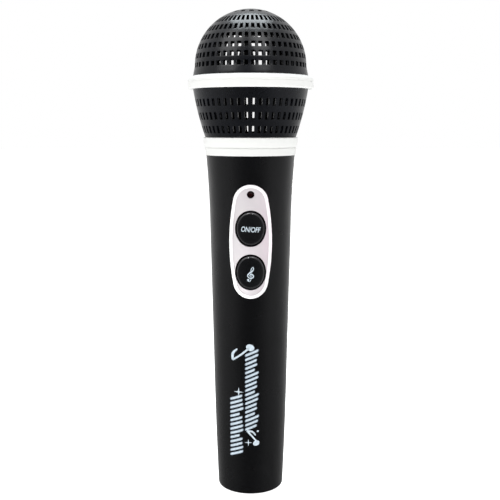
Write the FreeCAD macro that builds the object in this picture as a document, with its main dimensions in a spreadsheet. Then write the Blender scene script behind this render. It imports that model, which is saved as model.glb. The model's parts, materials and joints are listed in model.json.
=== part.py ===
import FreeCAD, Part
import math
import os

import Sketcher
from FreeCAD import Placement, Rotation, Vector

# A toy microphone that stands on the end of its handle: +Z runs up the handle to the ball grille, the
# buttons face -Y, and the origin is the middle of the flat base. Lengths are millimetres and angles are
# degrees.

DIMENSIONS = {
    # handle, two half shells
    "wall": 1.8,
    "base_radius": 16.62,
    "base_edge": 1.1,
    "belly_radius": 18.36,
    "belly_height": 52.0,
    "belly_curve": 2280.0,
    "taper_radius": 20.3,
    "taper_height": 140.0,
    "flare_curve": 459.0,
    "neck_radius": 21.95,
    "neck_height": 170.1,
    "spigot_radius": 20.7,
    "spigot_wall": 1.7,
    "spigot_top": 178.5,
    "seam_chamfer": 0.18,
    # neck collar
    "collar_low_radius": 22.6,
    "collar_high_radius": 23.3,
    "collar_step": 173.8,
    "collar_top": 178.7,
    "collar_round": 0.45,
    "collar_groove": 0.35,
    # ball grille
    "grille_wall": 1.1,
    "bowl_foot_radius": 22.3,
    "bowl_curve": 140.0,
    "bowl_sleeve_radius": 18.85,
    "bowl_sleeve_bottom": 171.5,
    "rim_radius": 28.1,
    "ring_bottom": 201.9,
    "ring_top": 208.15,
    "dome_radius": 27.15,
    "dome_centre": 212.85,
    "slot_columns": 50,
    "dome_slot_angle": 4.3,
    "bowl_slot_angle": 3.4,
    "first_column": 2.65,
    "dome_slot_height": 2.25,
    "dome_slot_growth": 0.07,
    "dome_first_row": 213.0,
    "dome_row_pitch": 4.22,
    "crown_slots": 15,
    "crown_slot_angle": 12.0,
    "crown_slot_inner": 8.4,
    "crown_slot_outer": 10.9,
    "bowl_slot_height": 3.4,
    "bowl_first_row": 182.45,
    "bowl_row_pitch": 6.38,
    # equator ring
    "ring_radius": 30.6,
    "ring_bore": 28.2,
    "ring_web_bore": 25.4,
    "ring_web_bottom": 204.7,
    "ring_web_top": 205.7,
    "ring_low_round": 0.8,
    "ring_high_round": 2.0,
    "ring_shoulder": 206.2,
    "parting_depth": 0.22,
    # glossy liners behind the slots
    "liner_gap": 0.25,
    "liner_wall": 0.9,
    # head chassis, lamps and microphone capsule
    "chassis_radius": 26.4,
    "chassis_thickness": 1.2,
    "chassis_bore": 15.0,
    "lead_notch_radius": 1.6,
    "lead_notch_centre": 21.2,
    "bridge_width": 6.0,
    "bridge_thickness": 1.4,
    "bridge_top": 221.0,
    "lamp_board_inner": 17.2,
    "lamp_board_outer": 22.9,
    "lamp_board_thickness": 1.0,
    "lamp_radius": 2.5,
    "lamp_height": 8.6,
    "lamp_ring": 20.0,
    "boot_radius": 5.9,
    "boot_height": 7.6,
    "capsule_radius": 4.85,
    "capsule_height": 6.7,
    # speaker
    "speaker_radius": 18.0,
    "speaker_flange": 1.2,
    "speaker_depth": 11.5,
    "speaker_neck": 10.0,
    "magnet_radius": 9.0,
    "magnet_height": 7.0,
    "speaker_screw_ring": 20.4,
    # control plate and buttons
    "plate_centre": 129.1,
    "plate_half_length": 27.57,
    "plate_half_width": 10.23,
    "plate_end": 8.4,
    "plate_rim_width": 1.5,
    "plate_rim_height": 0.35,
    "plate_low_height": 98.0,
    "plate_high_height": 160.0,
    "plate_low_radius": 19.47,
    "plate_high_radius": 21.17,
    "plate_back": -15.2,
    "plate_skirt": 1.3,
    "plate_skirt_thickness": 1.4,
    "plate_skirt_low_radius": 17.41,
    "plate_skirt_high_radius": 18.69,
    "plate_gap": 0.12,
    "power_height": 135.65,
    "music_height": 114.45,
    "button_half_length": 8.8,
    "button_half_width": 7.5,
    "button_end": 7.0,
    "button_gap": 0.85,
    "button_flange": 0.8,
    "button_flange_thickness": 1.0,
    "button_front": -21.3,
    "button_cross_curve": 21.3,
    "button_long_curve": 46.3,
    "button_round": 0.9,
    "button_back_gap": 0.15,
    "button_travel": 0.5,
    "indicator_height": 152.0,
    "indicator_radius": 1.6,
    "indicator_hole": 1.8,
    "indicator_tip": -20.6,
    "indicator_length": 5.3,
    "indicator_flange": 0.35,
    "indicator_flange_thickness": 0.8,
    # main board
    "board_front": -10.6,
    "board_thickness": 1.2,
    "board_width": 22.0,
    "board_bottom": 93.0,
    "board_top": 159.3,
    "board_screw_height": 96.4,
    "board_screw_spread": 6.5,
    "board_rest_height": 157.3,
    "board_rest_spread": 9.0,
    "switch_size": 6.0,
    "switch_height": 2.0,
    "plunger_radius": 1.7,
    "plunger_clearance": 0.05,
    "plunger_entry": 0.6,
    # body screws
    "low_screw_height": 84.0,
    "high_screw_height": 164.2,
    "boss_radius": 3.7,
    "boss_bore": 1.5,
    "screw_seat": 8.0,
    "screw_recess": 2.75,
    "screw_core": 1.1,
    "screw_head": 2.4,
    "screw_head_height": 1.7,
    "screw_reach": 9.0,
    # battery bay
    "cell_radius": 7.25,
    "cell_length": 49.5,
    "cell_nub_radius": 2.75,
    "cell_nub": 1.0,
    "cell_spread": 7.32,
    "cell_depth": 1.0,
    "bay_bottom": 6.2,
    "bay_top": 64.4,
    "bay_end": 1.2,
    "contact_thickness": 0.4,
    "tray_floor": -6.5,
    "tray_floor_thickness": 1.2,
    "tray_low_radius": 14.8,
    "tray_high_radius": 16.6,
    "tray_side": 8.0,
    # battery door
    "door_half_width": 12.5,
    "door_bottom": 6.0,
    "door_top": 74.0,
    "door_gap": 0.3,
    "door_screw_height": 69.8,
    "door_boss_radius": 3.5,
    "door_boss_inner": 14.2,
    "door_screw_seat": 16.0,
    "door_screw_tip": 10.4,
    "tray_boss_top": 13.9,
    "tray_boss_radius": 3.0,
    "tray_boss_bore": 1.45,
    "hook_half_width": 4.0,
    "hook_back": 13.4,
    "hook_front": 14.25,
    "hook_bottom": 4.0,
    "hook_root_top": 9.0,
    "hinge_depth": 15.75,
    "hinge_radius": 0.5,
    "hinge_neck": 0.3,
    "hinge_half_width": 2.5,
    "hinge_clearance": 0.1,
    "hinge_gap": 0.55,
    # contact springs
    "spring_wire": 0.6,
    "spring_foot_radius": 3.9,
    "spring_tip_radius": 2.3,
    "spring_turns": 4,
    # leads
    "lead_diameter": 1.2,
}

PIECES = []

doc = FreeCAD.newDocument("ToyMicrophone")
sheet = doc.addObject("Spreadsheet::Sheet", "Dims")
for row, (alias, value) in enumerate(DIMENSIONS.items(), start=1):
    sheet.set(f"A{row}", alias)
    sheet.set(f"B{row}", str(value))
    sheet.setAlias(f"B{row}", alias)
doc.recompute()


# ---------------------------------------------------------------- helpers

def dim(alias):
    return float(sheet.get(alias))


def formula(text):
    """Write each dimension's name in the text as a reference to its cell."""
    words = []
    word = ""
    for letter in str(text) + " ":
        if letter.isalnum() or letter in "_.":
            word += letter
            continue
        words.append(f"Dims.{word}" if word in DIMENSIONS else word)
        words.append(letter)
        word = ""
    return "".join(words).strip()


def number(owner, text):
    result = owner.evalExpression(formula(text))
    return float(getattr(result, "Value", result))


def bind(owner, **formulas):
    """Bind properties to the sheet: Radius="wall * 2", or Placement.Base.z as at_z."""
    places = {"at_x": "Placement.Base.x", "at_y": "Placement.Base.y", "at_z": "Placement.Base.z"}
    for name, text in formulas.items():
        owner.setExpression(places.get(name, name), formula(text))
    return owner


def piece(thing, label):
    """Name a finished piece, which is written to a file of that name."""
    thing.Label = label
    PIECES.append(thing)
    return thing


def origin_plane(body, role):
    return next(feature for feature in body.Origin.OriginFeatures if feature.Role == role)


def body_sketch(body, name, role="XZ_Plane", offset=None):
    """A sketch on one of the body's own planes, moved along that plane's normal by the offset."""
    sketch = body.newObject("Sketcher::SketchObject", name)
    sketch.AttachmentSupport = [(origin_plane(body, role), "")]
    sketch.MapMode = "FlatFace"
    if offset is not None:
        sketch.setExpression("AttachmentOffset.Base.z", formula(offset))
    doc.recompute()
    return sketch


def free_sketch(name, rotation, **place):
    sketch = doc.addObject("Sketcher::SketchObject", name)
    sketch.Placement = Placement(Vector(), rotation)
    bind(sketch, **place)
    doc.recompute()
    return sketch


def dimension(sketch, kind, geometry, position, value, name, text):
    """Add one sketch constraint and bind it to the sheet."""
    arguments = [geometry, value] if position is None else [geometry, position, value]
    sketch.addConstraint(Sketcher.Constraint(kind, *arguments))
    sketch.renameConstraint(sketch.ConstraintCount - 1, name)
    sketch.setExpression(f"Constraints.{name}", formula(text))


def loop(sketch, corners):
    """Draw a closed outline. A corner is (x, y), reached by a straight edge, or (x, y, radius), reached by
    an arc whose centre lies to the left of its travel, or to the right when the radius is negative."""
    spots = [Vector(number(sketch, corner[0]), number(sketch, corner[1]), 0) for corner in corners]
    edges = []
    for index, corner in enumerate(corners):
        start = spots[index - 1]
        end = spots[index]
        if len(corner) == 2:
            edge = sketch.addGeometry(Part.LineSegment(start, end), False)
            edges.append((edge, 1, 2))
            continue
        radius = number(sketch, corner[2])
        chord = end - start
        left = Vector(-chord.y, chord.x, 0) / chord.Length
        rise = math.sqrt(radius * radius - chord.Length ** 2 / 4)
        centre = (start + end) / 2 + left * math.copysign(rise, radius)
        first, last = (start, end) if radius > 0 else (end, start)
        from_angle = math.atan2(first.y - centre.y, first.x - centre.x)
        to_angle = math.atan2(last.y - centre.y, last.x - centre.x)
        if to_angle < from_angle:
            to_angle += 2 * math.pi
        circle = Part.Circle(centre, Vector(0, 0, 1), abs(radius))
        edge = sketch.addGeometry(Part.ArcOfCircle(circle, from_angle, to_angle), False)
        dimension(sketch, "Radius", edge, None, abs(radius), f"radius_{edge}", f"abs({corner[2]})")
        edges.append((edge, 1, 2) if radius > 0 else (edge, 2, 1))
    for index, corner in enumerate(corners):
        edge, _, tail = edges[index]
        after, head, _ = edges[(index + 1) % len(edges)]
        sketch.addConstraint(Sketcher.Constraint("Coincident", edge, tail, after, head))
        dimension(sketch, "DistanceX", edge, tail, spots[index].x, f"x_{edge}", corner[0])
        dimension(sketch, "DistanceY", edge, tail, spots[index].y, f"y_{edge}", corner[1])


def rectangle(sketch, left, bottom, right, top):
    loop(sketch, [(left, bottom), (right, bottom), (right, top), (left, top)])


def ring(sketch, x, y, radius):
    """Draw a circle."""
    centre = Vector(number(sketch, x), number(sketch, y), 0)
    size = number(sketch, radius)
    edge = sketch.addGeometry(Part.Circle(centre, Vector(0, 0, 1), size), False)
    dimension(sketch, "DistanceX", edge, 3, centre.x, f"x_{edge}", x)
    dimension(sketch, "DistanceY", edge, 3, centre.y, f"y_{edge}", y)
    dimension(sketch, "Radius", edge, None, size, f"radius_{edge}", radius)


def oval(centre, half_length, half_width, end, grow):
    """Corners of an upright oval made of four tangent arcs, all of them moved outward by grow."""
    rise = f"({half_length} - {end})"
    side = f"(({rise} ^ 2 + {half_width} ^ 2 - {end} ^ 2) / (2 * ({half_width} - {end})))"
    reach = f"(({end} + {grow}) / ({side} - {end}))"
    x = f"{reach} * ({side} - {half_width})"
    y = f"{rise} + {reach} * {rise}"
    return [
        (x, f"{centre} - ({y})", f"{end} + {grow}"),
        (x, f"{centre} + ({y})", f"{side} + {grow}"),
        (f"-({x})", f"{centre} + ({y})", f"{end} + {grow}"),
        (f"-({x})", f"{centre} - ({y})", f"{side} + {grow}"),
    ]


def plate_oval(grow):
    return oval("plate_centre", "plate_half_length", "plate_half_width", "plate_end", grow)


def button_oval(centre, grow):
    return oval(centre, "button_half_length", "button_half_width", "button_end", grow)


def new_body(label):
    return piece(doc.addObject("PartDesign::Body", label), label)


def check_change(body, feature, before, grows):
    """Stop if a feature that should add or remove material did not."""
    doc.recompute()
    change = body.Shape.Volume - before
    if (change > 0) != grows or abs(change) < 1e-3:
        raise RuntimeError(f"{body.Label}: {feature.Name} changed the volume by {change:.3f}")
    return feature


def revolve(body, sketch, angle=360.0, reverse=False):
    turn = body.newObject("PartDesign::Revolution", f"{body.Name}_turn")
    turn.Profile = sketch
    turn.ReferenceAxis = (sketch, ["V_Axis"])
    turn.Angle = angle
    turn.Reversed = reverse
    doc.recompute()
    return turn


def pad(body, sketch, length, reverse=False, name="pad"):
    before = body.Shape.Volume
    feature = body.newObject("PartDesign::Pad", f"{body.Name}_{name}")
    feature.Profile = sketch
    feature.setExpression("Length", formula(length))
    feature.Reversed = reverse
    return check_change(body, feature, before, True)


def pocket(body, sketch, reverse=False, length=None, name="pocket"):
    before = body.Shape.Volume
    feature = body.newObject("PartDesign::Pocket", f"{body.Name}_{name}")
    feature.Profile = sketch
    feature.Reversed = reverse
    if length is None:
        feature.Type = "ThroughAll"
    else:
        feature.setExpression("Length", formula(length))
    return check_change(body, feature, before, False)


def slots(body, sketch, angle, count, name):
    """Cut wedge-shaped slots where the sketch turns a little way about the axis, repeated all round."""
    before = body.Shape.Volume
    groove = body.newObject("PartDesign::Groove", f"{body.Name}_{name}")
    groove.Profile = sketch
    groove.ReferenceAxis = (sketch, ["V_Axis"])
    groove.Midplane = True
    groove.setExpression("Angle", formula(angle))
    doc.recompute()
    pattern = body.newObject("PartDesign::PolarPattern", f"{body.Name}_{name}_pattern")
    pattern.Originals = [groove]
    pattern.Axis = (sketch, ["V_Axis"])
    pattern.Angle = 360.0
    pattern.setExpression("Occurrences", formula(count))
    body.Tip = pattern
    return check_change(body, pattern, before, False)


def front_facing_column(body):
    """Turn a grille body so that one column of its slots stands just beside the front."""
    body.Placement = Placement(Vector(), Rotation(Vector(0, 0, 1), -90.0 + dim("first_column")))
    body.setExpression("Placement.Rotation.Angle", formula("first_column - 90"))


def box(name, length, width, height, x, y, z):
    """A box from its lowest corner."""
    thing = doc.addObject("Part::Box", name)
    return bind(thing, Length=length, Width=width, Height=height, at_x=x, at_y=y, at_z=z)


def rod(name, radius, height, x="0", y="0", z="0", along="Z"):
    """A cylinder that starts at the given point and runs along +Z or +Y."""
    thing = doc.addObject("Part::Cylinder", name)
    if along == "Y":
        thing.Placement = Placement(Vector(), Rotation(Vector(1, 0, 0), -90))
    return bind(thing, Radius=radius, Height=height, at_x=x, at_y=y, at_z=z)


def cone(name, low_radius, high_radius, height, z):
    thing = doc.addObject("Part::Cone", name)
    return bind(thing, Radius1=low_radius, Radius2=high_radius, Height=height, at_z=z)


def boolean(kind, name, things):
    """Part::MultiFuse or Part::MultiCommon of several things."""
    thing = doc.addObject(kind, name)
    thing.Shapes = things
    return thing


def union(name, *things):
    return boolean("Part::MultiFuse", name, list(things))


def overlap(name, *things):
    return boolean("Part::MultiCommon", name, list(things))


def subtract(name, base, *tools):
    thing = doc.addObject("Part::Cut", name)
    thing.Base = base
    thing.Tool = tools[0] if len(tools) == 1 else union(f"{name}_tools", *tools)
    return thing


def group(name, things):
    thing = doc.addObject("Part::Compound", name)
    thing.Links = things
    return thing


def prism(name, corners, near, far):
    """A straight bar along +Y, from y = near to y = far, whose section is an outline seen from the front."""
    sketch = free_sketch(f"{name}_outline", Rotation(Vector(1, 0, 0), 90), at_y=near)
    loop(sketch, corners)
    thing = doc.addObject("Part::Extrusion", name)
    thing.Base = sketch
    thing.DirMode = "Custom"
    thing.Dir = Vector(0, 1, 0)
    thing.Solid = True
    thing.setExpression("LengthFwd", formula(f"({far}) - ({near})"))
    return thing


def lathe(label, corners):
    """A turned piece: an outline of radius and height, swept right round the axis."""
    body = new_body(label)
    sketch = body_sketch(body, f"{label}_profile")
    loop(sketch, corners)
    revolve(body, sketch)
    return body


def screw(name, x, z, seat, length):
    """A pan-head screw along Y with a cross recess. Its head stands to the rear of its seat, and its
    thread is a plain core."""
    head = rod(f"{name}_head", "screw_head", "screw_head_height", x, seat, z, "Y")
    shank = rod(f"{name}_shank", "screw_core", length, x, f"{seat} - ({length})", z, "Y")
    mouth = f"{seat} + screw_head_height - 0.9"
    across = box(f"{name}_across", "2.8", "1.0", "0.6", f"{x} - 1.4", mouth, f"{z} - 0.3")
    upright = box(f"{name}_upright", "0.6", "1.0", "2.8", f"{x} - 0.3", mouth, f"{z} - 1.4")
    return subtract(name, union(f"{name}_blank", head, shank), across, upright)


def wire(label, points, diameter):
    """A wire of straight runs joined by tangent arcs, each as large as its two runs allow."""
    spots = [Vector(*point) for point in points]
    edges = []
    radii = []
    start = spots[0]
    for before, corner, after in zip(spots, spots[1:], spots[2:]):
        back = before - corner
        on = after - corner
        turn = math.pi - back.getAngle(on)
        trim = 0.45 * min(back.Length, on.Length)
        enter = corner + back.normalize() * trim
        leave = corner + on.normalize() * trim
        radius = trim / math.tan(turn / 2)
        inward = (back + on).normalize()
        middle = corner + inward * (radius / math.cos(turn / 2) - radius)
        edges.append(Part.LineSegment(start, enter).toShape())
        edges.append(Part.Arc(enter, middle, leave).toShape())
        radii.append(radius)
        start = leave
    edges.append(Part.LineSegment(start, spots[-1]).toShape())
    path = Part.Wire(edges)
    first_run = spots[1] - spots[0]
    section = Part.Wire([Part.makeCircle(diameter / 2, spots[0], first_run)])
    tube = path.makePipeShell([section], True, True)
    expected = math.pi * diameter ** 2 / 4 * path.Length
    print(f"{label}: length {path.Length:.1f} mm, volume ratio {tube.Volume / expected:.4f}")
    print("    radii", ", ".join(f"{radius:.1f}" for radius in radii))
    return tube


def loose_solid(label, solids):
    """An object that holds solids made by this script's own code."""
    thing = doc.addObject("Part::Feature", label)
    thing.Shape = solids[0] if len(solids) == 1 else Part.makeCompound(solids)
    thing.Placement = Placement()
    return piece(thing, label)


# ---------------------------------------------------------------- handle shells

def shell_outline():
    """Half section of the handle: flat base, slightly bellied taper, flared neck and the spigot above it."""
    inner_spigot = "spigot_radius - spigot_wall"
    return [
        ("0", "0"),
        ("base_radius - base_edge", "0"),
        ("base_radius", "base_edge", "base_edge"),
        ("belly_radius", "belly_height", "belly_curve"),
        ("taper_radius", "taper_height"),
        ("neck_radius", "neck_height", "-flare_curve"),
        ("spigot_radius", "neck_height"),
        ("spigot_radius", "spigot_top"),
        (inner_spigot, "spigot_top"),
        (inner_spigot, "neck_height - 1.5"),
        ("taper_radius - wall", "taper_height"),
        ("belly_radius - wall", "belly_height"),
        ("base_radius - wall", "wall"),
        ("0", "wall"),
    ]


def half_shell(label, front):
    body = new_body(label)
    profile = body_sketch(body, f"{label}_profile")
    loop(profile, shell_outline())
    revolve(body, profile, 180.0, reverse=front)
    return body


def chamfer_seam(body):
    """Break the outer edge where the two halves meet, which leaves a fine groove down each side."""
    feature = body.Tip
    radii = [dim(name) for name in ("base_radius", "belly_radius", "taper_radius", "neck_radius")]
    names = []
    for index, edge in enumerate(feature.Shape.Edges, start=1):
        ends = [vertex.Point for vertex in edge.Vertexes]
        on_seam = all(abs(end.y) < 1e-3 for end in ends)
        on_outside = all(min(abs(abs(end.x) - radius) for radius in radii) < 1e-3 for end in ends)
        if len(ends) == 2 and on_seam and on_outside and abs(ends[0].z - ends[1].z) > 1:
            names.append(f"Edge{index}")
    chamfer = body.newObject("PartDesign::Chamfer", f"{body.Name}_seam")
    chamfer.Base = (feature, names)
    chamfer.setExpression("Size", formula("seam_chamfer"))
    return check_change(body, chamfer, feature.Shape.Volume, False)


def make_body_front():
    body = half_shell("body_front", front=True)
    opening = body_sketch(body, "plate_opening")
    loop(opening, plate_oval("plate_gap"))
    pocket(body, opening, reverse=True, name="plate_opening")
    for name, height, depth in (
        ("low", "low_screw_height", "belly_radius - 0.8"),
        ("high", "high_screw_height", "taper_radius - 0.6"),
    ):
        boss = body_sketch(body, f"{name}_boss_outline", offset="0.1")
        ring(boss, "0", height, "boss_radius")
        pad(body, boss, depth, name=f"{name}_boss")
        bore = body_sketch(body, f"{name}_bore_outline")
        ring(bore, "0", height, "boss_bore")
        pocket(body, bore, reverse=True, length="screw_reach + 2", name=f"{name}_bore")
    for side, sign in (("left", "-"), ("right", "")):
        post = body_sketch(body, f"board_post_{side}", offset="-board_front")
        ring(post, f"{sign}board_screw_spread", "board_screw_height", "2.4")
        pad(body, post, "6.0", name=f"board_post_{side}")
        pilot = body_sketch(body, f"board_pilot_{side}", offset="-board_front")
        ring(pilot, f"{sign}board_screw_spread", "board_screw_height", "screw_core + 0.15")
        pocket(body, pilot, reverse=True, length="4.5", name=f"board_pilot_{side}")
        rest = body_sketch(body, f"board_rest_{side}", offset="-board_front")
        ring(rest, f"{sign}board_rest_spread", "board_rest_height", "1.4")
        pad(body, rest, "7.6", name=f"board_rest_{side}")
    chamfer_seam(body)


def make_body_rear():
    body = half_shell("body_rear", front=False)
    opening = body_sketch(body, "door_opening")
    rectangle(opening, "-door_half_width", "door_bottom", "door_half_width", "door_top")
    pocket(body, opening, name="door_opening")
    for name, height, depth in (
        ("low", "low_screw_height", "belly_radius - 0.8"),
        ("high", "high_screw_height", "taper_radius - 0.6"),
    ):
        boss = body_sketch(body, f"rear_{name}_boss", offset="-0.1")
        ring(boss, "0", height, "boss_radius")
        pad(body, boss, depth, reverse=True, name=f"{name}_boss")
        bore = body_sketch(body, f"rear_{name}_bore")
        ring(bore, "0", height, "boss_bore")
        pocket(body, bore, name=f"{name}_bore")
        recess = body_sketch(body, f"rear_{name}_recess", offset="-screw_seat")
        ring(recess, "0", height, "screw_recess")
        pocket(body, recess, name=f"{name}_recess")
    reach = "hinge_half_width + hinge_clearance"
    groove = body_sketch(body, "hinge_groove_outline", "YZ_Plane", f"-({reach})")
    ring(groove, "hinge_depth", "door_bottom", "hinge_radius + hinge_clearance")
    pocket(body, groove, reverse=True, length=f"2 * ({reach})", name="hinge_groove")
    chamfer_seam(body)


def make_battery_door():
    body = half_shell("battery_door", front=False)
    trim = body_sketch(body, "door_outline")
    edge = "door_half_width - door_gap"
    rectangle(trim, f"-({edge})", "door_bottom + hinge_gap", edge, "door_top - door_gap")
    rectangle(trim, "-40", "-10", "40", "200")
    pocket(body, trim, name="trim")
    boss = body_sketch(body, "door_boss_outline", offset="-door_boss_inner")
    ring(boss, "0", "door_screw_height", "door_boss_radius")
    pad(body, boss, "3.4", reverse=True, name="boss")
    bore = body_sketch(body, "door_bore_outline")
    ring(bore, "0", "door_screw_height", "screw_core + 0.2")
    pocket(body, bore, name="bore")
    recess = body_sketch(body, "door_recess_outline", offset="-door_screw_seat")
    ring(recess, "0", "door_screw_height", "screw_recess")
    pocket(body, recess, name="recess")
    root = body_sketch(body, "hook_root_outline", offset="-hook_back")
    rectangle(root, "-hook_half_width", "door_bottom + hinge_gap", "hook_half_width", "hook_root_top")
    pad(body, root, "2.4", reverse=True, name="hook_root")
    hook = body_sketch(body, "hook_outline", offset="-hook_back")
    rectangle(hook, "-hook_half_width", "hook_bottom", "hook_half_width", "door_bottom + hinge_gap")
    pad(body, hook, "hook_front - hook_back", reverse=True, name="hook")
    neck = body_sketch(body, "hinge_neck_outline", "YZ_Plane", "-hinge_half_width")
    rectangle(neck, "hinge_depth - hinge_neck", "door_bottom",
              "hinge_depth + hinge_neck", "door_bottom + 1.2")
    pad(body, neck, "2 * hinge_half_width", name="hinge_neck")
    bead = body_sketch(body, "hinge_bead_outline", "YZ_Plane", "-hinge_half_width")
    ring(bead, "hinge_depth", "door_bottom", "hinge_radius")
    pad(body, bead, "2 * hinge_half_width", name="hinge_bead")


# ---------------------------------------------------------------- head

def make_neck_collar():
    inner = "spigot_radius + 0.1"
    lathe("neck_collar", [
        (inner, "neck_height"),
        ("collar_low_radius - 0.22", "neck_height"),
        ("collar_low_radius", "collar_step - collar_groove"),
        ("collar_low_radius - collar_groove", "collar_step - collar_groove * 0.4"),
        ("collar_low_radius - collar_groove", "collar_step + collar_groove * 0.4"),
        ("collar_low_radius + 0.1", "collar_step + collar_groove"),
        ("collar_high_radius - 0.15", "collar_step + 2.4"),
        ("collar_high_radius", "collar_top - collar_round"),
        ("collar_high_radius - collar_round", "collar_top", "collar_round"),
        (inner, "collar_top"),
    ])


def make_equator_ring():
    lathe("equator_ring", [
        ("ring_bore", "ring_bottom"),
        ("ring_radius - ring_low_round", "ring_bottom"),
        ("ring_radius", "ring_bottom + ring_low_round", "ring_low_round"),
        ("ring_radius", "ring_web_bottom + 0.4"),
        ("ring_radius - parting_depth", "ring_web_bottom + 0.65"),
        ("ring_radius", "ring_web_bottom + 0.9"),
        ("ring_radius", "ring_shoulder"),
        ("ring_radius - 1.35", "ring_shoulder + 1.55", "ring_high_round"),
        ("ring_bore", "ring_top"),
        ("ring_bore", "ring_web_top"),
        ("ring_web_bore", "ring_web_top"),
        ("ring_web_bore", "ring_web_bottom"),
        ("ring_bore", "ring_web_bottom"),
    ])


def make_grille_dome():
    inner = "(dome_radius - grille_wall)"
    body = lathe("grille_dome", [
        ("rim_radius", "ring_web_top"),
        ("rim_radius", "ring_top"),
        ("dome_radius", "dome_centre"),
        ("0", "dome_centre + dome_radius", "dome_radius"),
        ("0", f"dome_centre + {inner}"),
        (inner, "dome_centre", f"-{inner}"),
        ("rim_radius - grille_wall", "ring_top"),
        ("rim_radius - grille_wall", "ring_web_top"),
    ])
    rows = body_sketch(body, "dome_rows")
    for row in range(6):
        middle = f"dome_first_row + {row} * dome_row_pitch"
        half = f"(dome_slot_height + {row} * dome_slot_growth) / 2"
        rectangle(rows, "6", f"{middle} - {half}", "35", f"{middle} + {half}")
    slots(body, rows, "dome_slot_angle", "slot_columns", "slots")
    crown = body_sketch(body, "crown_row")
    rectangle(crown, "crown_slot_inner", "dome_centre + 15", "crown_slot_outer", "dome_centre + 30")
    slots(body, crown, "crown_slot_angle", "crown_slots", "crown")
    front_facing_column(body)


def make_grille_bowl():
    body = lathe("grille_bowl", [
        ("bowl_sleeve_radius - grille_wall", "bowl_sleeve_bottom"),
        ("bowl_sleeve_radius", "bowl_sleeve_bottom"),
        ("bowl_sleeve_radius", "collar_top"),
        ("bowl_foot_radius", "collar_top"),
        ("rim_radius", "ring_bottom", "bowl_curve"),
        ("rim_radius", "ring_web_bottom - 0.1"),
        ("rim_radius - grille_wall", "ring_web_bottom - 0.1"),
        ("rim_radius - grille_wall", "ring_bottom"),
        ("bowl_foot_radius - grille_wall", "collar_top + grille_wall", "-bowl_curve"),
        ("bowl_sleeve_radius - grille_wall", "collar_top + grille_wall"),
    ])
    rows = body_sketch(body, "bowl_rows")
    for row in range(3):
        middle = f"bowl_first_row + {row} * bowl_row_pitch"
        rectangle(rows, "19.8", f"{middle} - bowl_slot_height / 2", "35", f"{middle} + bowl_slot_height / 2")
    slots(body, rows, "bowl_slot_angle", "slot_columns", "slots")
    front_facing_column(body)


def make_liners():
    """Glossy shells that follow the grille from inside, the upper one with vents for sound round its foot."""
    outer = "(dome_radius - grille_wall - liner_gap)"
    inner = f"({outer} - liner_wall)"
    seat = "ring_web_top + chassis_thickness"
    upper = lathe("head_liner_upper", [
        (inner, seat),
        ("chassis_radius", seat),
        ("chassis_radius", f"{seat} + liner_wall"),
        (f"{outer} + 0.1", f"{seat} + liner_wall"),
        (outer, "dome_centre"),
        ("0", f"dome_centre + {outer}", outer),
        ("0", f"dome_centre + {inner}"),
        (inner, "dome_centre", f"-{inner}"),
    ])
    vent = body_sketch(upper, "liner_vents")
    rectangle(vent, "20", f"{seat} + 1.4", "28", f"{seat} + 3.6")
    slots(upper, vent, "8", "24", "vents")
    gap = "(grille_wall + liner_gap)"
    lathe("head_liner_lower", [
        (f"bowl_foot_radius - {gap} - liner_wall", "collar_top + grille_wall", "-bowl_curve"),
        (f"bowl_foot_radius - {gap}", "collar_top + grille_wall"),
        (f"rim_radius - {gap}", "ring_bottom", "bowl_curve"),
        (f"rim_radius - {gap}", "ring_web_bottom - 0.2"),
        (f"rim_radius - {gap} - liner_wall", "ring_web_bottom - 0.2"),
        (f"rim_radius - {gap} - liner_wall", "ring_bottom"),
    ])


def lead_notches(name, bottom, height):
    """Holes on the left and right that leads rise through."""
    left = rod(f"{name}_left_notch", "lead_notch_radius", height, "-lead_notch_centre", "0", bottom)
    right = rod(f"{name}_right_notch", "lead_notch_radius", height, "lead_notch_centre", "0", bottom)
    return left, right


def ring_places(radius, count, start):
    """Formulas for x and y of places evenly spaced round a circle."""
    for step in range(count):
        angle = start + 360 * step / count
        yield f"{radius} * cos({angle})", f"{radius} * sin({angle})"


def make_head_chassis():
    low = "ring_web_top"
    disc = rod("chassis_disc", "chassis_radius", "chassis_thickness", z=low)
    bore = rod("chassis_bore_tool", "chassis_bore", "chassis_thickness + 2", z=f"{low} - 1")
    holes = [
        rod(f"chassis_screw_hole_{index}", "screw_core", "chassis_thickness + 2", x, y, f"{low} - 1")
        for index, (x, y) in enumerate(ring_places("speaker_screw_ring", 3, 30))
    ]
    plate = subtract("chassis_plate", disc, bore, *lead_notches("chassis", f"{low} - 1", "4"), *holes)
    half = "bridge_width / 2"
    legs = [
        box(f"bridge_leg_{side}", "bridge_width", "bridge_thickness", f"bridge_top - ({low})",
            f"-{half}", y, low)
        for side, y in (("front", "-chassis_bore - bridge_thickness"), ("rear", "chassis_bore"))
    ]
    span = "2 * (chassis_bore + bridge_thickness)"
    bar = box("bridge_bar", "bridge_width", span, "2", f"-{half}", "-chassis_bore - bridge_thickness",
              "bridge_top - 2")
    piece(union("head_chassis", plate, *legs, bar), "head_chassis")


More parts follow.
